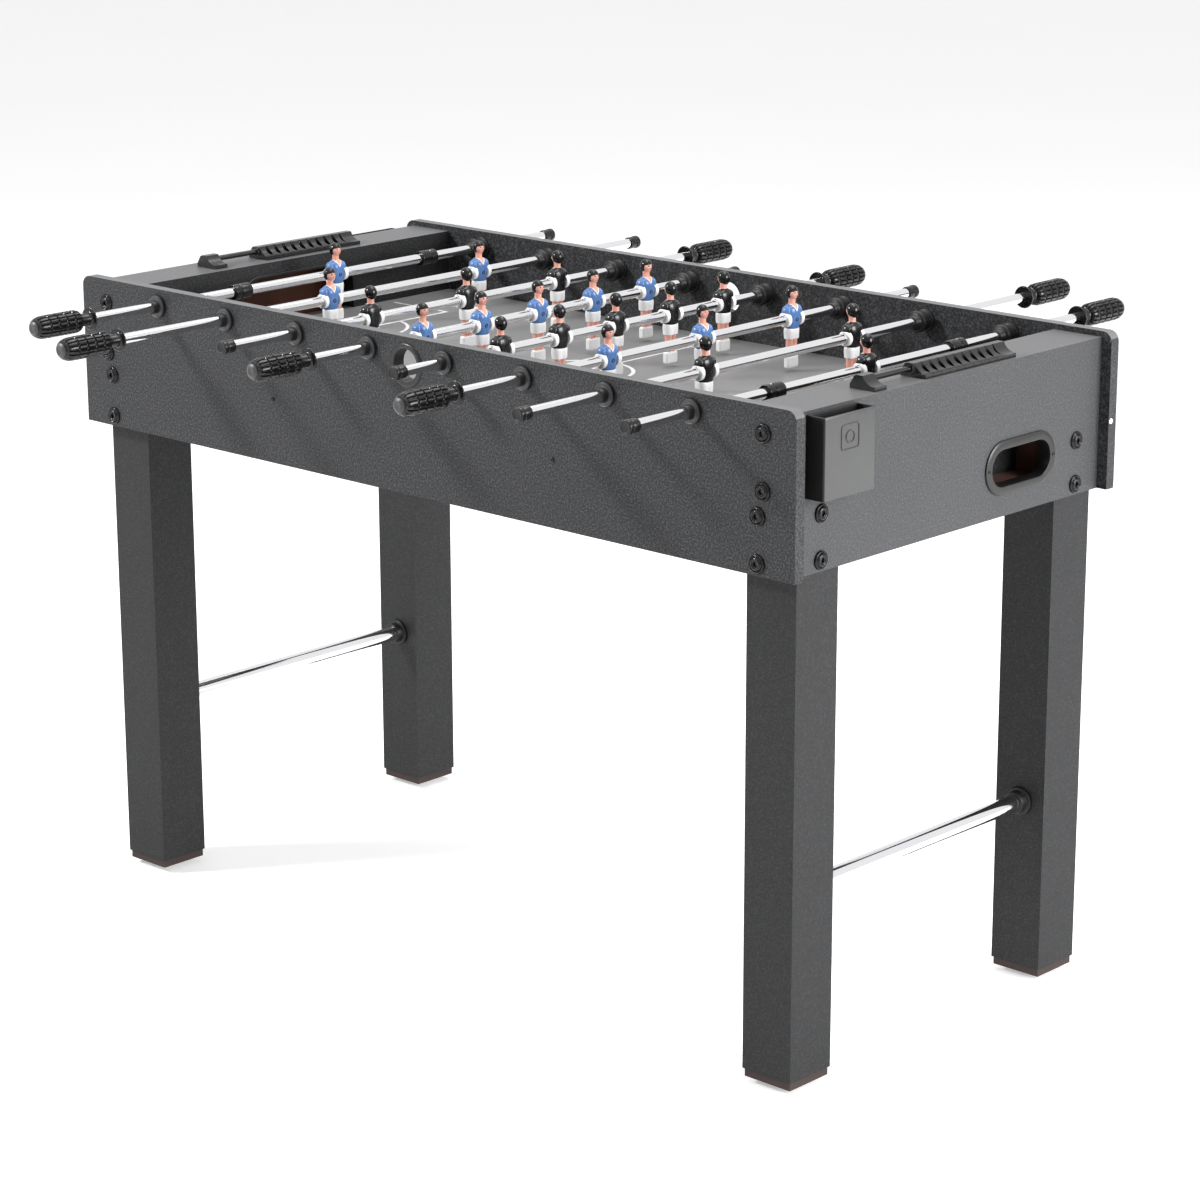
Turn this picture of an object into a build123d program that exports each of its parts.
"""Foosball table: a 48-inch class cabinet on four legs, with eight telescoping player rods.

Millimetres, +Z up. X runs along the cabinet's length, Y across it (the rods' direction).
The origin is on the floor, under the cabinet's centre.
"""
import math
import os

from build123d import *

# Cabinet
TABLE_LENGTH = 1210.0
TABLE_WIDTH = 600.0
BOARD = 15.0
WALL_HEIGHT = 193.0
WALL_CORNER_RADIUS = 13.0
END_INSET = 14.4
END_RAIL_TOP = 186.0
END_RAIL_WIDTH = 70.0
FIELD_TOP = 104.0
FIELD_THICKNESS = 5.0
SUPPORT_X = 240.0
SUPPORT_HEIGHT = 30.0
CORNER_BLOCK = 30.0

# Legs
LEG_SIZE = 72.0
LEG_X = 551.0
LEG_Y = 239.0
LEG_WALL = 12.0
LEG_DROP = 612.0
LEG_RISE = 80.0
LEG_SOLID_BELOW_WALL = 30.0
PLUG_BAND = 10.0
PLUG_INSET = 2.0
PLUG_SPIGOT = 25.0
LEVELER_HEIGHT = 8.0
LEVELER_DISC = 6.0
LEVELER_RADIUS = 16.5
LEVELER_NECK_RADIUS = 9.0
LEVELER_STEM_RADIUS = 4.0
LEVELER_STEM = 25.0
LEVELER_ROUNDING = 2.0
LEVELER_NAMES = ("leveler_front_left", "leveler_back_left", "leveler_front_right", "leveler_back_right")
LEG_BAR_RADIUS = 10.5
LEG_BAR_WALL = 1.5
LEG_BAR_DROP = 388.0
CUP_RADIUS = 14.0
CUP_FLANGE_RADIUS = 18.0
CUP_FLANGE = 4.0
CUP_DEPTH = 14.0

# Rods, in order from the -X end: players, side of the handle, rest offset of the rod's middle
ROD_PITCH = 129.8
ROD_HEIGHT = 171.0
ROD_RADIUS = 6.35
ROD_BORE = 5.15
NEAR = -1
FAR = 1
RODS = [
    (1, NEAR, 8.0),
    (2, NEAR, 13.0),
    (3, FAR, -4.0),
    (5, NEAR, -6.5),
    (5, FAR, -2.5),
    (3, NEAR, 12.0),
    (2, FAR, 5.0),
    (1, FAR, 7.0),
]
PLAYER_PITCH = {1: 0.0, 2: 271.0, 3: 169.0, 5: 101.3}
HANDLE_REACH = {1: 418.5, 2: 484.5, 3: 421.3, 5: 390.3}
CAP_REACH = {1: 416.4, 2: 449.0, 3: 417.1, 5: 382.0}
STOP_OFFSET = 169.0
STOP_LENGTH = 28.0
STOP_RADIUS = 10.0
STOP_ROUNDING = 1.2

# Fits
RUNNING_GAP = 0.05
FACE_GAP = 0.3
TRIM_GAP = 0.1

# Handle, measured outwards from its flange
HANDLE_LENGTH = 92.0
HANDLE_RADIUS = 14.5
HANDLE_FLANGE = 3.0
HANDLE_NECK = 14.0
HANDLE_NECK_RADIUS = 7.8
HANDLE_RINGS = 5
HANDLE_GROOVE = 2.0
HANDLE_GROOVE_DEPTH = 1.6
HANDLE_DOME = 9.0
HANDLE_SOCKET = 78.0
HANDLE_DOME_STEPS = [(5.0, 3.0), (8.0, 7.0), (9.0, 10.0)]

# End cap
CAP_LENGTH = 18.0
CAP_RADIUS = 8.0
CAP_LIP_RADIUS = 8.6
CAP_LIP = 7.0
CAP_SOCKET = 15.0

# Rod bearing, from the wall's faces
BEARING_SLEEVE_RADIUS = 9.9
BEARING_HOLE_RADIUS = 10.0
BEARING_FLANGE_RADIUS = 14.5
BEARING_FLANGE = 4.5
BEARING_NECK = 14.5
BEARING_NECK_RADIUS = 8.6
BEARING_INNER = [(3.0, 14.5), (15.0, 11.5), (19.0, 14.0), (28.0, 8.6)]

# Player
HEAD_TOP = 42.0
FOOT_REACH = 62.0
FOOT_WIDTH = 20.5
FOOT_DEPTH = 9.0
HUB_RADIUS = 9.5
HUB_HALF_WIDTH = 15.5
HUB_RING = 6.0
HUB_CORE_RADIUS = 8.5
FOOT_HEIGHT = 15.0
FOOT_ROUNDING = 1.5
NECK_RADIUS = 4.6
NECK_LENGTH = 10.0
NECK_HEIGHT = 21.0
HEAD_SIZE = (8.2, 7.2, 9.5)
SECTION_ROUNDING = 0.32

# Sections of the player: width, depth and height above the rod's axis
TORSO = [(19.0, 12.0, -12.5), (24.0, 15.0, 0.0), (30.0, 15.0, 11.0), (27.0, 14.0, 15.0), (13.0, 9.5, 19.5)]
SHORTS = [(21.0, 13.0, -11.5), (18.0, 12.0, -25.0)]
SHINS = [(15.0, 9.5, -24.0), (13.0, 8.0, -48.0)]

# Openings
BALL_ENTRY_HEIGHT = 158.6
BALL_ENTRY_RADIUS = 20.0
BALL_RING_RADIUS = 27.2
BALL_RING_SLEEVE = 23.0
TRIM_THICKNESS = 2.0
GOAL_HALF_WIDTH = 100.0
GOAL_HEIGHT = 62.0
GOAL_CORNER = 30.0
GOAL_TRIM = 4.0
RETURN_OFFSET = 127.0
RETURN_HEIGHT = 59.0
RETURN_LENGTH = 115.0
RETURN_DEPTH = 46.0
RETURN_TRIM = 10.0
RETURN_TRIM_THICKNESS = 3.0
RETURN_TRIM_ROUNDING = 1.5
RETURN_LIP = 1.5
RETURN_CUT = 1.0
GOAL_TRIM_THICKNESS = 1.5
TRAY_THICKNESS = 8.0
TRAY_LOW = 33.0
TRAY_SLOPE = 3.0
TRAY_STOP_HEIGHT = 50.0

# Fasteners
BOLT_RADIUS = 3.0
BOLT_HOLE_RADIUS = 3.1
BOLT_CAP_RADIUS = 11.0
BOLT_CAP_HEIGHT = 4.5
BOLT_DOME_RADIUS = 8.0
BOLT_SOCKET_RADIUS = 2.9
BOLT_SOCKET_DEPTH = 3.0
BOLT_LENGTH = 45.0
BOLT_RIM = 1.5
BOLT_BEVEL = 1.0
UPPER_BOLTS = (558.0, (162.0, 97.0))
LOWER_BOLTS = (LEG_X, (68.0, 14.0))
END_BOLTS = (LEG_Y, (67.0, 13.5))
SCREW_HEIGHT = 81.0
SCREW_HEAD_RADIUS = 3.6
SCREW_RADIUS = 1.6
SCREW_HOLE_RADIUS = 1.7
SCREW_LENGTH = 28.0
TRIM_SCREW_HEAD_RADIUS = 2.0
TRIM_SCREW_LENGTH = 10.0
SCREW_POINT = 3.0
SCREW_DOME = [(0.8, 0.8), (1.4, 0.4)]

# Accessory box
BOX_START = 267.0
BOX_WIDTH = 88.0
BOX_DEPTH = 27.4
BOX_BOTTOM = 88.0
BOX_HEIGHT = 94.0
BOX_SHELL = 2.5
BOX_SIDE_ROUNDING = 4.0
BOX_BOTTOM_ROUNDING = 2.0

# Score counter
COUNTER_PLACES = {-1: (-552.0, -3.0), 1: (567.0, -10.0)}
COUNTER_HALF_SPAN = 131.0
COUNTER_BLOCK = 21.0
COUNTER_HALF_WIDTH = 18.0
COUNTER_LIP = 5.0
COUNTER_LIP_WIDTH = 2.0
COUNTER_TOP = 16.0
COUNTER_SHOULDER = [(6.0, 14.5), (9.0, 16.0)]
COUNTER_HOLLOW = (6.0, 8.5)
BEAD_PITCH = 15.0
BEAD_THICKNESS = 14.6
BEADS_PER_COUNTER = 10
SCOOP_RADIUS = 9.0
SCOOP_DEPTH = 3.2
SCOOP_OFFSET = 6.0
SCOOP_HEIGHT = 20.0
GUIDE_RADIUS = 3.5
GUIDE_OFFSET = -6.0
GUIDE_HEIGHT = 9.0
BEAD_LIFT = 0.4

WALL_BOTTOM = LEG_DROP + LEVELER_HEIGHT
INNER_HALF_WIDTH = TABLE_WIDTH / 2 - BOARD
PANEL_OUTER_X = TABLE_LENGTH / 2 - END_INSET
PANEL_INNER_X = PANEL_OUTER_X - BOARD
GOAL_FACE_X = PANEL_OUTER_X - END_RAIL_WIDTH
LEG_OUTER_X = LEG_X + LEG_SIZE / 2
LEG_OUTER_Y = LEG_Y + LEG_SIZE / 2
LEG_INNER_X = LEG_X - LEG_SIZE / 2
LEG_INNER_Y = LEG_Y - LEG_SIZE / 2
RAIL_UNDERSIDE = WALL_BOTTOM + END_RAIL_TOP - BOARD
ROD_Z = WALL_BOTTOM + ROD_HEIGHT


def rod_x(number):
    """Where rod 0 to 7 stands along the table."""
    return (number - (len(RODS) - 1) / 2) * ROD_PITCH


def block(x0, x1, y0, y1, z0, z1):
    """A box between two corners."""
    size = (abs(x1 - x0), abs(y1 - y0), z1 - z0)
    return Pos((x0 + x1) / 2, (y0 + y1) / 2, (z0 + z1) / 2) * Box(*size)


def rod_along_y(radius, x, y0, y1, z):
    """A round bar across the table."""
    return Pos(x, (y0 + y1) / 2, z) * Rot(90, 0, 0) * Cylinder(radius, abs(y1 - y0))


def rod_along_x(radius, x0, x1, y, z):
    """A round bar along the table."""
    return Pos((x0 + x1) / 2, y, z) * Rot(0, 90, 0) * Cylinder(radius, abs(x1 - x0))


def turned(points, x, y, z, side):
    """A turned piece about the Y direction, from (distance, radius) points going towards side."""
    outline = make_face(Polyline(*points, close=True))
    solid = revolve(outline, Axis.X)
    return Pos(x, y, z) * Rot(0, 0, 90 * side) * solid


def half_turn(piece):
    """The same piece at the table's other end, half a turn about the middle."""
    return Rot(0, 0, 180) * piece


def corners():
    """The four signs of the table's corners."""
    return [(sx, sy) for sx in (-1, 1) for sy in (-1, 1)]


def write(name, *pieces):
    """Saves one node of one or more separate solids."""
    solids = [solid for piece in pieces for solid in piece.solids()]
    shape = solids[0] if len(solids) == 1 else Compound(children=solids)
    export_step(shape, os.path.join("parts", f"{name}.step"))


# Cabinet boards

def long_wall(side):
    """A long side wall with its rod holes, ball entry and bolt holes."""
    face = side * TABLE_WIDTH / 2
    inner = side * INNER_HALF_WIDTH
    wall = block(-TABLE_LENGTH / 2, TABLE_LENGTH / 2, face, inner, WALL_BOTTOM, WALL_BOTTOM + WALL_HEIGHT)
    tops = wall.edges().filter_by(Axis.Y).group_by(Axis.Z)[-1]
    wall = fillet(tops, WALL_CORNER_RADIUS)
    for number in range(len(RODS)):
        wall -= rod_along_y(BEARING_HOLE_RADIUS, rod_x(number), face + side, inner - side, ROD_Z)
    entry_z = WALL_BOTTOM + BALL_ENTRY_HEIGHT
    wall -= rod_along_y(BALL_RING_SLEEVE + RUNNING_GAP, 0, face + side, inner - side, entry_z)
    for x, z in wall_bolt_places():
        wall -= rod_along_y(BOLT_HOLE_RADIUS, x, face + side, inner - side, z)
    for x in (-SUPPORT_X, SUPPORT_X):
        wall -= rod_along_y(SCREW_HOLE_RADIUS, x, face + side, inner - side, WALL_BOTTOM + SCREW_HEIGHT)
    return wall


def wall_bolt_places():
    """The (x, z) of the eight bolts through a long wall."""
    places = []
    for x, heights in (UPPER_BOLTS, LOWER_BOLTS):
        for sx in (-1, 1):
            places += [(sx * x, WALL_BOTTOM + height) for height in heights]
    return places


def end_bolt_places():
    """The (y, z) of the four bolts through an end panel."""
    y, heights = END_BOLTS
    return [(sy * y, WALL_BOTTOM + height) for sy in (-1, 1) for height in heights]


def stadium(length, depth):
    """A face with half-round ends."""
    return SlotOverall(length, depth)


def return_opening(length, depth, x0, x1):
    """The ball return's opening as a solid through the +X end."""
    start = Plane(origin=(x0, RETURN_OFFSET, WALL_BOTTOM + RETURN_HEIGHT), x_dir=(0, 1, 0), z_dir=(1, 0, 0))
    return extrude(start * stadium(length, depth), x1 - x0)


def end_panel():
    """The +X end panel, mitred along its top to meet the rail."""
    top = WALL_BOTTOM + END_RAIL_TOP
    outline = Polyline(
        (PANEL_INNER_X, WALL_BOTTOM),
        (PANEL_OUTER_X, WALL_BOTTOM),
        (PANEL_OUTER_X, top),
        (PANEL_INNER_X, top - BOARD),
        close=True,
    )
    panel = Pos(0, INNER_HALF_WIDTH, 0) * extrude(Plane.XZ * make_face(outline), 2 * INNER_HALF_WIDTH)
    panel -= return_opening(
        RETURN_LENGTH + 2 * RETURN_CUT, RETURN_DEPTH + 2 * RETURN_CUT, PANEL_INNER_X - 1, PANEL_OUTER_X + 1
    )
    for y, z in end_bolt_places():
        panel -= rod_along_x(BOLT_HOLE_RADIUS, PANEL_INNER_X - 1, PANEL_OUTER_X + 1, y, z)
    for y in return_screw_places():
        z = WALL_BOTTOM + RETURN_HEIGHT
        panel -= rod_along_x(SCREW_HOLE_RADIUS, PANEL_INNER_X - 1, PANEL_OUTER_X + 1, y, z)
    return panel


def end_rail():
    """The +X end rail on top of the goal panel."""
    top = WALL_BOTTOM + END_RAIL_TOP
    outline = Polyline(
        (GOAL_FACE_X, top - BOARD),
        (PANEL_INNER_X, top - BOARD),
        (PANEL_OUTER_X, top),
        (GOAL_FACE_X, top),
        close=True,
    )
    return Pos(0, INNER_HALF_WIDTH, 0) * extrude(Plane.XZ * make_face(outline), 2 * INNER_HALF_WIDTH)


def goal_outline(grow):
    """The goal mouth: square at the field, rounded at the top."""
    half = GOAL_HALF_WIDTH + grow
    height = GOAL_HEIGHT + grow
    radius = GOAL_CORNER + grow
    bend = radius * (1 - math.cos(math.pi / 4))
    shoulder = height - radius
    flat = half - radius
    left = Line((-half, 0), (-half, shoulder))
    left_bend = ThreePointArc((-half, shoulder), (bend - half, height - bend), (-flat, height))
    top = Line((-flat, height), (flat, height))
    right_bend = ThreePointArc((flat, height), (half - bend, height - bend), (half, shoulder))
    right = Line((half, shoulder), (half, 0))
    sill = Line((half, 0), (-half, 0))
    return make_face([left, left_bend, top, right_bend, right, sill])


def goal_mouth(grow, x0, x1):
    """The goal mouth as a solid along X."""
    start = Plane(origin=(x0, 0, WALL_BOTTOM + FIELD_TOP), x_dir=(0, 1, 0), z_dir=(1, 0, 0))
    return extrude(start * goal_outline(grow), x1 - x0)


def goal_panel():
    """The +X goal panel, notched over the legs."""
    back = GOAL_FACE_X + BOARD
    bottom = WALL_BOTTOM + TRAY_LOW - TRAY_THICKNESS
    leg_top = WALL_BOTTOM + LEG_RISE
    panel = block(GOAL_FACE_X, back, -INNER_HALF_WIDTH, INNER_HALF_WIDTH, leg_top, RAIL_UNDERSIDE)
    panel += block(GOAL_FACE_X, back, -LEG_INNER_Y, LEG_INNER_Y, bottom, leg_top)
    return panel - goal_mouth(0, GOAL_FACE_X - 1, back + 1)


def playfield():
    """The flat field between the goal panels."""
    z1 = WALL_BOTTOM + FIELD_TOP
    z0 = z1 - FIELD_THICKNESS
    return block(-GOAL_FACE_X, GOAL_FACE_X, -INNER_HALF_WIDTH, INNER_HALF_WIDTH, z0, z1)


def inner_battens():
    """Two bearers under the field, a block in each upper corner and a packer beside each leg."""
    z1 = WALL_BOTTOM + FIELD_TOP - FIELD_THICKNESS
    pieces = []
    for x in (-SUPPORT_X, SUPPORT_X):
        bearer = block(
            x - BOARD / 2, x + BOARD / 2, -INNER_HALF_WIDTH, INNER_HALF_WIDTH, z1 - SUPPORT_HEIGHT, z1
        )
        bearer -= rod_along_y(
            SCREW_HOLE_RADIUS, x, -INNER_HALF_WIDTH, INNER_HALF_WIDTH, WALL_BOTTOM + SCREW_HEIGHT
        )
        pieces.append(bearer)
    z0 = WALL_BOTTOM + LEG_RISE
    for sx, sy in corners():
        x0 = sx * (PANEL_INNER_X - CORNER_BLOCK)
        corner = block(
            x0, sx * PANEL_INNER_X, sy * (INNER_HALF_WIDTH - CORNER_BLOCK), sy * INNER_HALF_WIDTH,
            z0, RAIL_UNDERSIDE,
        )
        x, heights = UPPER_BOLTS
        for height in heights:
            hole = rod_along_y(
                BOLT_HOLE_RADIUS, sx * x, sy * (INNER_HALF_WIDTH + 1),
                sy * (INNER_HALF_WIDTH - CORNER_BLOCK - 1), WALL_BOTTOM + height,
            )
            corner -= hole
        pieces.append(corner)
        packer = block(
            sx * LEG_INNER_X, sx * PANEL_INNER_X, sy * LEG_OUTER_Y, sy * INNER_HALF_WIDTH, WALL_BOTTOM, z0
        )
        x, heights = LOWER_BOLTS
        for height in heights:
            hole = rod_along_y(
                BOLT_HOLE_RADIUS, sx * x, sy * (LEG_OUTER_Y - 1),
                sy * (INNER_HALF_WIDTH + 1), WALL_BOTTOM + height,
            )
            packer -= hole
        pieces.append(packer)
    return pieces


def ball_tray():
    """The +X ball run: a sloping floor and the stop beyond its low end."""
    x0 = GOAL_FACE_X + BOARD
    rise = math.tan(math.radians(TRAY_SLOPE)) * (RETURN_OFFSET + LEG_INNER_Y)
    low = WALL_BOTTOM + TRAY_LOW
    stop_y = RETURN_OFFSET + RETURN_LENGTH / 2 + RETURN_TRIM
    drop = math.tan(math.radians(TRAY_SLOPE)) * (stop_y - RETURN_OFFSET)
    outline = Polyline(
        (-LEG_INNER_Y, low + rise),
        (stop_y, low - drop),
        (stop_y, low - drop - TRAY_THICKNESS),
        (-LEG_INNER_Y, low + rise - TRAY_THICKNESS),
        close=True,
    )
    floor = Pos(x0, 0, 0) * extrude(Plane.YZ * make_face(outline), PANEL_INNER_X - x0)
    stop = block(
        x0, PANEL_INNER_X, stop_y, stop_y + TRAY_THICKNESS,
        low - drop - TRAY_THICKNESS, low + TRAY_STOP_HEIGHT,
    )
    return [floor, stop]


# Legs

def leg(sx, sy):
    """A square box leg, rebated at the top for the end panel."""
    x0, x1 = sx * LEG_INNER_X, sx * LEG_OUTER_X
    y0, y1 = sy * LEG_INNER_Y, sy * LEG_OUTER_Y
    bottom = LEVELER_HEIGHT + PLUG_BAND
    top = WALL_BOTTOM + LEG_RISE
    solid = block(x0, x1, y0, y1, bottom, top)
    solid -= block(
        sx * PANEL_INNER_X, sx * (PANEL_OUTER_X + 1), y0 - sy, y1 + sy, WALL_BOTTOM, top + 1
    )
    cavity = LEG_SIZE - 2 * LEG_WALL
    cavity_top = WALL_BOTTOM - LEG_SOLID_BELOW_WALL
    hollow = Pos(sx * LEG_X, sy * LEG_Y, (bottom + cavity_top) / 2)
    solid -= hollow * Box(cavity, cavity, cavity_top - bottom)
    x, heights = LOWER_BOLTS
    for height in heights:
        z = WALL_BOTTOM + height
        deep = sy * (TABLE_WIDTH / 2 - BOLT_LENGTH - 1)
        solid -= rod_along_y(BOLT_HOLE_RADIUS, sx * x, y1 + sy, deep, z)
    y, heights = END_BOLTS
    for height in heights:
        z = WALL_BOTTOM + height
        deep = sx * (PANEL_OUTER_X - BOLT_LENGTH - 1)
        solid -= rod_along_x(BOLT_HOLE_RADIUS, sx * (PANEL_INNER_X + 1), deep, sy * y, z)
    return solid


def leg_plug(sx, sy):
    """The block that closes a leg's foot and carries the leveler's thread."""
    band = LEG_SIZE - 2 * PLUG_INSET
    spigot = LEG_SIZE - 2 * LEG_WALL - 2 * FACE_GAP
    x, y = sx * LEG_X, sy * LEG_Y
    plug = Pos(x, y, LEVELER_HEIGHT + PLUG_BAND / 2) * Box(band, band, PLUG_BAND)
    plug += Pos(x, y, LEVELER_HEIGHT + PLUG_BAND + PLUG_SPIGOT / 2) * Box(spigot, spigot, PLUG_SPIGOT)
    depth = LEVELER_STEM + 2
    hole = Cylinder(LEVELER_STEM_RADIUS + RUNNING_GAP, depth)
    return plug - Pos(x, y, LEVELER_HEIGHT + depth / 2) * hole


def leveler(sx, sy):
    """A screw-in glide: a disc, a neck and a stem."""
    disc = Cylinder(LEVELER_RADIUS, LEVELER_DISC)
    disc = fillet(disc.edges().group_by(Axis.Z)[-1], LEVELER_ROUNDING)
    disc = Pos(0, 0, LEVELER_DISC / 2) * disc
    neck_height = LEVELER_HEIGHT - LEVELER_DISC
    neck = Pos(0, 0, LEVELER_DISC + neck_height / 2) * Cylinder(LEVELER_NECK_RADIUS, neck_height)
    stem = Pos(0, 0, LEVELER_HEIGHT + LEVELER_STEM / 2) * Cylinder(LEVELER_STEM_RADIUS, LEVELER_STEM)
    return Pos(sx * LEG_X, sy * LEG_Y, 0) * (disc + neck + stem)


def leg_bar(sx):
    """The round tube between the two legs at one end."""
    end = LEG_INNER_Y - CUP_FLANGE
    z = WALL_BOTTOM - LEG_BAR_DROP
    bar = rod_along_y(LEG_BAR_RADIUS, sx * LEG_X, -end, end, z)
    return bar - rod_along_y(LEG_BAR_RADIUS - LEG_BAR_WALL, sx * LEG_X, -end, end, z)


def leg_bar_cup(sx, sy):
    """The socket that holds a leg bar's end against the leg."""
    face = sy * LEG_INNER_Y
    z = WALL_BOTTOM - LEG_BAR_DROP
    cup = rod_along_y(CUP_FLANGE_RADIUS, sx * LEG_X, face, face - sy * CUP_FLANGE, z)
    cup += rod_along_y(CUP_RADIUS, sx * LEG_X, face, face - sy * CUP_DEPTH, z)
    socket = rod_along_y(
        LEG_BAR_RADIUS + RUNNING_GAP, sx * LEG_X, face - sy * CUP_FLANGE, face - sy * (CUP_DEPTH + 1), z
    )
    return cup - socket


# Rods and what is on them

def rod_ends(number):
    """The rod's middle, the Y of its handle flange, the Y of its bare end and the handle's side."""
    players, side, offset = RODS[number]
    return offset, offset + side * HANDLE_REACH[players], offset - side * CAP_REACH[players], side


def rod_tube(number):
    """The hollow steel rod, from inside its handle to inside its cap."""
    middle, flange, bare, side = rod_ends(number)
    inside = flange + side * (HANDLE_SOCKET - 1)
    tip = bare + side * (CAP_LENGTH - CAP_SOCKET + FACE_GAP)
    tube = rod_along_y(ROD_RADIUS, rod_x(number), tip, inside, ROD_Z)
    return tube - rod_along_y(ROD_BORE, rod_x(number), tip - side, inside + side, ROD_Z)


def rod_handle(number):
    """The ribbed grip with its flange, neck and domed end."""
    middle, flange, bare, side = rod_ends(number)
    grip_start = HANDLE_FLANGE + HANDLE_NECK
    grip_end = HANDLE_LENGTH - HANDLE_DOME
    ring = (grip_end - grip_start) / HANDLE_RINGS
    groove_radius = HANDLE_RADIUS - HANDLE_GROOVE_DEPTH
    socket = ROD_RADIUS + RUNNING_GAP
    points = [(0, socket), (0, HANDLE_RADIUS), (HANDLE_FLANGE, HANDLE_RADIUS)]
    points += [(HANDLE_FLANGE, HANDLE_NECK_RADIUS), (grip_start - 2, HANDLE_NECK_RADIUS)]
    for step in range(HANDLE_RINGS):
        start = grip_start + step * ring
        end = start + ring - HANDLE_GROOVE
        points += [(start, groove_radius), (start, HANDLE_RADIUS)]
        points += [(end, HANDLE_RADIUS), (end, groove_radius)]
    points += [(grip_end, groove_radius), (grip_end, HANDLE_RADIUS - 1)]
    points += [(grip_end + reach, HANDLE_RADIUS - drop) for reach, drop in HANDLE_DOME_STEPS]
    points += [(HANDLE_LENGTH, 0), (HANDLE_SOCKET, 0), (HANDLE_SOCKET, socket)]
    return turned(points, rod_x(number), flange, ROD_Z, side)


def rod_cap(number):
    """The plastic cap over the rod's bare end."""
    middle, flange, bare, side = rod_ends(number)
    socket = ROD_RADIUS + RUNNING_GAP
    points = [(0, 0), (0, CAP_LIP_RADIUS - 1), (1, CAP_LIP_RADIUS), (CAP_LIP, CAP_LIP_RADIUS)]
    points += [(CAP_LIP, CAP_RADIUS), (CAP_LENGTH, CAP_RADIUS), (CAP_LENGTH, socket)]
    points += [(CAP_LENGTH - CAP_SOCKET, socket), (CAP_LENGTH - CAP_SOCKET, 0)]
    return turned(points, rod_x(number), bare, ROD_Z, side)


def goalie_stop(number, sign):
    """A clamp-on collar that limits the goalkeeper rod's travel."""
    middle = rod_ends(number)[0] + sign * STOP_OFFSET
    half = STOP_LENGTH / 2
    x = rod_x(number)
    collar = rod_along_y(STOP_RADIUS, x, middle - half, middle + half, ROD_Z)
    collar -= rod_along_y(ROD_RADIUS + RUNNING_GAP, x, middle - half - 1, middle + half + 1, ROD_Z)
    return fillet(collar.edges().filter_by(GeomType.CIRCLE).sort_by(Axis.Y)[-1], STOP_ROUNDING)


def bearing(number, side):
    """The plastic bearing that carries a rod through one wall: flange, sleeve and inner bumper."""
    bore = ROD_RADIUS + RUNNING_GAP
    points = [(-BEARING_NECK, bore), (-BEARING_NECK, BEARING_NECK_RADIUS - 1)]
    points += [(-BEARING_FLANGE, BEARING_NECK_RADIUS)]
    points += [(-BEARING_FLANGE, BEARING_FLANGE_RADIUS), (0, BEARING_FLANGE_RADIUS)]
    points += [(0, BEARING_SLEEVE_RADIUS), (BOARD, BEARING_SLEEVE_RADIUS)]
    start = 0.0
    for reach, radius in BEARING_INNER:
        points += [(BOARD + start, radius), (BOARD + reach, radius)]
        start = reach
    points += [(BOARD + start, bore)]
    return turned(points, rod_x(number), side * TABLE_WIDTH / 2, ROD_Z, -side)


def section(width, depth, height):
    """A rounded rectangle across the figure at one height."""
    return Plane.XY.offset(height) * RectangleRounded(depth, width, min(width, depth) * SECTION_ROUNDING)


def figure():
    """One player about the rod's axis, facing +X, with the bore along Y."""
    torso, shorts, shins = [
        loft([section(*sizes) for sizes in part], ruled=True) for part in (TORSO, SHORTS, SHINS)
    ]
    neck = Pos(0, 0, NECK_HEIGHT) * Cylinder(NECK_RADIUS, NECK_LENGTH)
    head = Pos(0, 0, HEAD_TOP - HEAD_SIZE[2]) * scale(Sphere(1), by=HEAD_SIZE)
    foot = Pos(0, 0, FOOT_HEIGHT / 2 - FOOT_REACH) * Box(FOOT_DEPTH, FOOT_WIDTH, FOOT_HEIGHT)
    foot = fillet(foot.edges().filter_by(Axis.Y), FOOT_ROUNDING)
    hub = Rot(90, 0, 0) * Cylinder(HUB_CORE_RADIUS, 2 * HUB_HALF_WIDTH)
    for sign in (-1, 1):
        ring = Rot(90, 0, 0) * Cylinder(HUB_RADIUS, HUB_RING)
        hub += Pos(0, sign * (HUB_HALF_WIDTH - HUB_RING / 2), 0) * ring
    body = torso + neck + head + shorts + shins + foot + hub
    return body - Rot(90, 0, 0) * Cylinder(ROD_RADIUS + RUNNING_GAP, 4 * HUB_HALF_WIDTH)


def players_on(number, man):
    """All the players of one rod; those of near handles face +X."""
    count, side, offset = RODS[number]
    turn = 0 if side == NEAR else 180
    places = [offset + (place - (count - 1) / 2) * PLAYER_PITCH[count] for place in range(count)]
    return [Pos(rod_x(number), y, ROD_Z) * Rot(0, 0, turn) * man for y in places]


# Trims around the ball's openings

def ball_entry_ring(side):
    """The collar in a long wall's ball entry."""
    points = [
        (-TRIM_THICKNESS, BALL_ENTRY_RADIUS),
        (-TRIM_THICKNESS, BALL_RING_RADIUS - 1),
        (0, BALL_RING_RADIUS),
        (0, BALL_RING_SLEEVE),
        (BOARD, BALL_RING_SLEEVE),
        (BOARD, BALL_ENTRY_RADIUS),
    ]
    return turned(points, 0, side * TABLE_WIDTH / 2, WALL_BOTTOM + BALL_ENTRY_HEIGHT, -side)


def return_screw_places():
    """The Y of the two screws in a return trim."""
    reach = RETURN_LENGTH / 2 + RETURN_TRIM / 2
    return (RETURN_OFFSET - reach, RETURN_OFFSET + reach)


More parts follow.
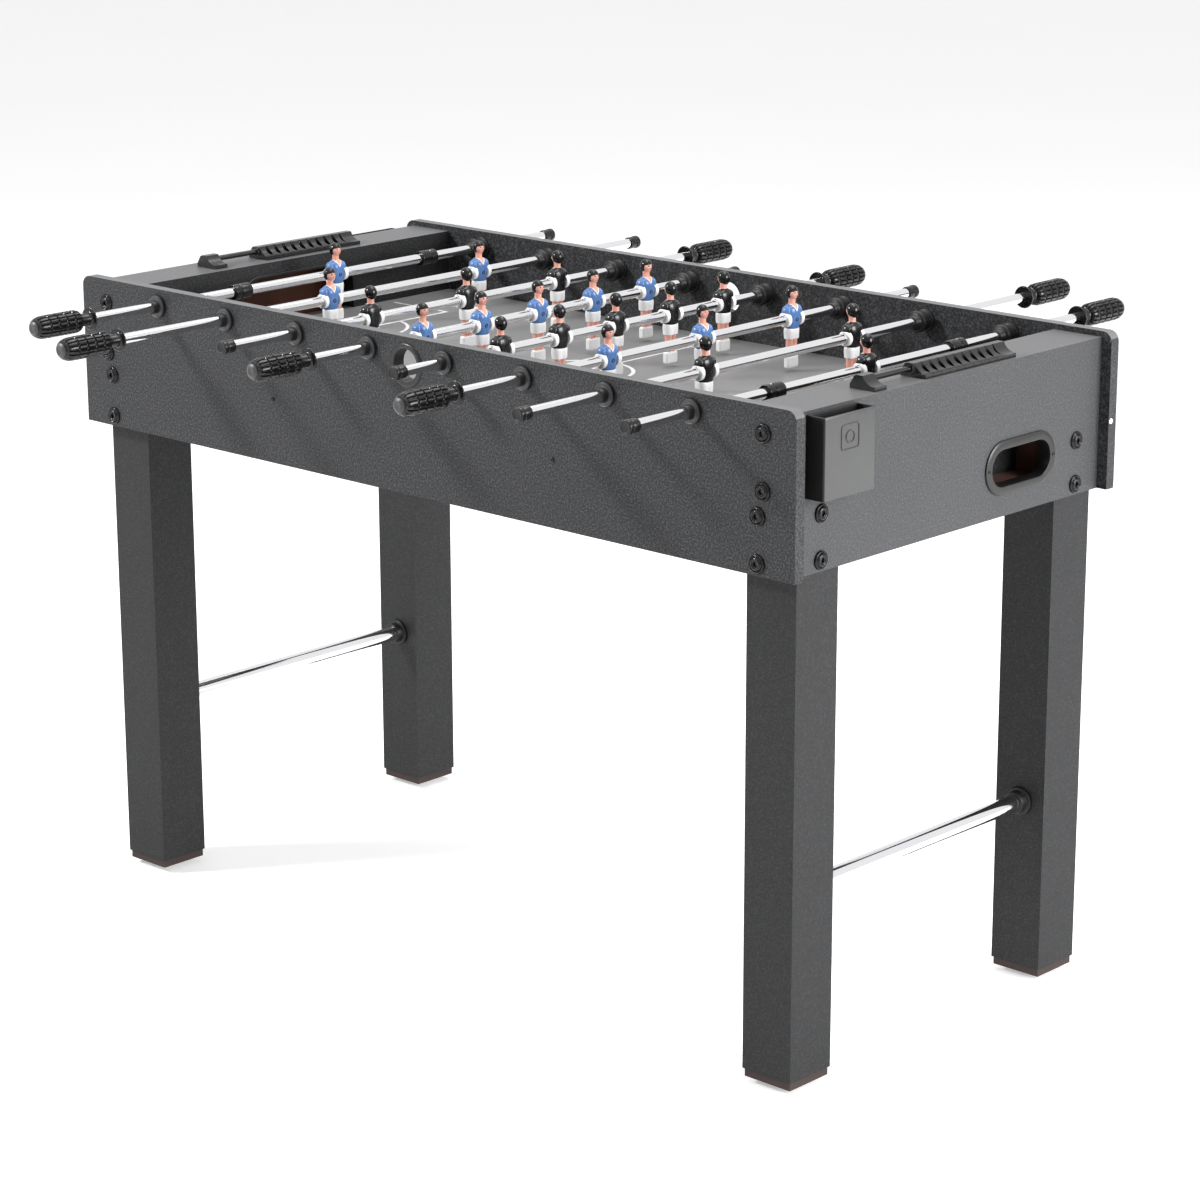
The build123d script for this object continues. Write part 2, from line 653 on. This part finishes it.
def return_trim():
    """The +X ball return's bezel and its lip through the panel."""
    outer_length = RETURN_LENGTH + 2 * RETURN_TRIM
    outer_depth = RETURN_DEPTH + 2 * RETURN_TRIM
    face = PANEL_OUTER_X + RETURN_TRIM_THICKNESS
    trim = return_opening(outer_length, outer_depth, PANEL_OUTER_X, face)
    trim = fillet(trim.edges().group_by(Axis.X)[-1], RETURN_TRIM_ROUNDING)
    grow = 2 * (RETURN_CUT - TRIM_GAP)
    trim += return_opening(RETURN_LENGTH + grow, RETURN_DEPTH + grow, PANEL_INNER_X, PANEL_OUTER_X)
    shrink = 2 * RETURN_LIP - grow
    trim -= return_opening(RETURN_LENGTH - shrink, RETURN_DEPTH - shrink, PANEL_INNER_X - 1, face + 1)
    for y in return_screw_places():
        z = WALL_BOTTOM + RETURN_HEIGHT
        trim -= rod_along_x(SCREW_HOLE_RADIUS, PANEL_OUTER_X - 1, face + 1, y, z)
    return trim


def goal_trim():
    """The edging around the +X goal mouth."""
    face = GOAL_FACE_X - GOAL_TRIM_THICKNESS
    return goal_mouth(GOAL_TRIM, face, GOAL_FACE_X) - goal_mouth(0, face - 1, GOAL_FACE_X + 1)


# Fasteners

def bolt():
    """A capped bolt along +X: its head is at the origin, pointing to -X."""
    dome = BOLT_CAP_HEIGHT
    points = [(0, 0), (BOLT_LENGTH, 0), (BOLT_LENGTH, BOLT_RADIUS), (0, BOLT_RADIUS)]
    points += [(0, BOLT_CAP_RADIUS), (-BOLT_RIM, BOLT_CAP_RADIUS)]
    points += [(BOLT_BEVEL - dome, BOLT_DOME_RADIUS + BOLT_BEVEL), (-dome, BOLT_DOME_RADIUS - BOLT_BEVEL)]
    points += [(-dome, 0)]
    solid = revolve(make_face(Polyline(*points, close=True)), Axis.X)
    start = Plane(origin=(-dome, 0, 0), x_dir=(0, 1, 0), z_dir=(1, 0, 0))
    return solid - extrude(start * RegularPolygon(BOLT_SOCKET_RADIUS, 6), BOLT_SOCKET_DEPTH)


def small_screw(head_radius, length):
    """A countersunk-style screw along +X with a low domed head."""
    points = [(0, 0), (length, 0), (length - SCREW_POINT, SCREW_RADIUS), (0, SCREW_RADIUS), (0, head_radius)]
    points += [(-height, head_radius * share) for height, share in SCREW_DOME]
    points += [(-SCREW_DOME[-1][0], 0)]
    return revolve(make_face(Polyline(*points, close=True)), Axis.X)


def inward_from_wall(side):
    """Turns a +X fastener to point inwards from a long wall."""
    return Rot(0, 0, -90 * side)


def frame_bolts():
    """Every capped bolt of the frame."""
    one = bolt()
    pieces = []
    for side in (-1, 1):
        for x, z in wall_bolt_places():
            pieces.append(Pos(x, side * TABLE_WIDTH / 2, z) * inward_from_wall(side) * one)
        for y, z in end_bolt_places():
            turn = Rot(0, 0, 180 if side > 0 else 0)
            pieces.append(Pos(side * PANEL_OUTER_X, y, z) * turn * one)
    return pieces


def small_screws():
    """The field bearers' screws and the return trims' screws."""
    bearer_screw = small_screw(SCREW_HEAD_RADIUS, SCREW_LENGTH)
    trim_screw = small_screw(TRIM_SCREW_HEAD_RADIUS, TRIM_SCREW_LENGTH)
    pieces = []
    for side in (-1, 1):
        for x in (-SUPPORT_X, SUPPORT_X):
            place = Pos(x, side * TABLE_WIDTH / 2, WALL_BOTTOM + SCREW_HEIGHT)
            pieces.append(place * inward_from_wall(side) * bearer_screw)
    for y in return_screw_places():
        place = Pos(PANEL_OUTER_X + RETURN_TRIM_THICKNESS, y, WALL_BOTTOM + RETURN_HEIGHT)
        screw = place * Rot(0, 0, 180) * trim_screw
        pieces += [screw, half_turn(screw)]
    return pieces


# Accessory box and score counter

def accessory_box():
    """The open-topped box on the +X end panel, by the near corner."""
    y0, y1 = -BOX_START, -BOX_START + BOX_WIDTH
    z0 = WALL_BOTTOM + BOX_BOTTOM
    shell = block(PANEL_OUTER_X, PANEL_OUTER_X + BOX_DEPTH, y0, y1, z0, z0 + BOX_HEIGHT)
    fronts = shell.edges().filter_by(Axis.Z).group_by(Axis.X)[-1]
    shell = fillet(fronts, BOX_SIDE_ROUNDING)
    shell = fillet(shell.edges().group_by(Axis.Z)[0].group_by(Axis.X)[-1], BOX_BOTTOM_ROUNDING)
    hollow = block(
        PANEL_OUTER_X + BOX_SHELL, PANEL_OUTER_X + BOX_DEPTH - BOX_SHELL,
        y0 + BOX_SHELL, y1 - BOX_SHELL, z0 + BOX_SHELL, z0 + BOX_HEIGHT + 1,
    )
    return shell - hollow


def counter_profile(y0, y1, lift):
    """The counter's humped section, swept from y0 to y1."""
    half = COUNTER_HALF_WIDTH
    back = [(-half, lift), (-half, COUNTER_LIP)]
    back += [(reach - half, height) for reach, height in COUNTER_SHOULDER]
    back += [(0, COUNTER_TOP)]
    sides = [
        Polyline(*back),
        ThreePointArc((0, COUNTER_TOP), COUNTER_HOLLOW, (half - COUNTER_LIP_WIDTH, COUNTER_LIP)),
        Polyline((half - COUNTER_LIP_WIDTH, COUNTER_LIP), (half, COUNTER_LIP), (half, lift), (-half, lift)),
    ]
    return Pos(0, y1, 0) * extrude(Plane.XZ * make_face(sides), y1 - y0)


def counter_place(sx):
    """Where a counter's section stands on its end rail."""
    x, middle = COUNTER_PLACES[sx]
    return Pos(x, middle, WALL_BOTTOM + END_RAIL_TOP)


def counter_frame(sx):
    """The two end blocks and the guide rod between them, as one moulding."""
    end = COUNTER_HALF_SPAN
    frame = counter_profile(-end, COUNTER_BLOCK - end, 0)
    frame += counter_profile(end - COUNTER_BLOCK, end, 0)
    frame += rod_along_y(GUIDE_RADIUS, GUIDE_OFFSET, 1 - end, end - 1, GUIDE_HEIGHT)
    return counter_place(sx) * frame


def score_bead(sx, index):
    """Bead 0 is the lead bead; the others stand behind it, up to the far block."""
    far = COUNTER_HALF_SPAN - COUNTER_BLOCK
    y1 = far - FACE_GAP - (BEADS_PER_COUNTER - 1 - index) * BEAD_PITCH
    y0 = y1 - BEAD_THICKNESS
    bead = counter_profile(y0, y1, BEAD_LIFT)
    bead -= rod_along_y(GUIDE_RADIUS + RUNNING_GAP, GUIDE_OFFSET, y0 - 1, y1 + 1, GUIDE_HEIGHT)
    for edge, sign in ((y0, -1), (y1, 1)):
        middle = edge + sign * (SCOOP_RADIUS - SCOOP_DEPTH)
        scoop = Cylinder(SCOOP_RADIUS, SCOOP_HEIGHT)
        bead -= Pos(SCOOP_OFFSET, middle, COUNTER_LIP + SCOOP_HEIGHT / 2) * scoop
    return counter_place(sx) * bead


def main():
    """Writes every node."""
    os.makedirs("parts", exist_ok=True)
    write("front_wall", long_wall(-1))
    write("back_wall", long_wall(1))
    for name, piece in (
        ("end_panels", end_panel()),
        ("end_rails", end_rail()),
        ("goal_panels", goal_panel()),
        ("accessory_boxes", accessory_box()),
    ):
        write(name, piece, half_turn(piece))
    write("playfield", playfield())
    write("inner_battens", *inner_battens())
    tray = ball_tray()
    write("ball_return_trays", *tray, *[half_turn(piece) for piece in tray])
    write("legs", *[leg(sx, sy) for sx, sy in corners()])
    write("leg_plugs", *[leg_plug(sx, sy) for sx, sy in corners()])
    for name, (sx, sy) in zip(LEVELER_NAMES, corners()):
        write(name, leveler(sx, sy))
    write("leg_bars", *[leg_bar(sx) for sx in (-1, 1)])
    write("leg_bar_cups", *[leg_bar_cup(sx, sy) for sx, sy in corners()])
    numbers = range(len(RODS))
    write("rod_bearings", *[bearing(number, side) for number in numbers for side in (-1, 1)])
    write("frame_bolts", *frame_bolts())
    write("small_screws", *small_screws())
    trims = [return_trim(), goal_trim()]
    rings = [ball_entry_ring(side) for side in (-1, 1)]
    write("ball_port_trims", *trims, *[half_turn(trim) for trim in trims], *rings)
    write("score_frames", *[counter_frame(sx) for sx in (-1, 1)])
    for sx, end in ((-1, "left"), (1, "right")):
        write(f"score_lead_bead_{end}", score_bead(sx, 0))
        write(f"score_beads_{end}", *[score_bead(sx, index) for index in range(1, BEADS_PER_COUNTER)])
    man = figure()
    for number in numbers:
        label = number + 1
        write(f"rod_{label}", rod_tube(number))
        write(f"players_{label}", *players_on(number, man))
        write(f"handle_{label}", rod_handle(number))
        write(f"end_cap_{label}", rod_cap(number))
        if RODS[number][0] == 1:
            write(f"goalie_stops_{label}", *[goalie_stop(number, sign) for sign in (-1, 1)])


main()
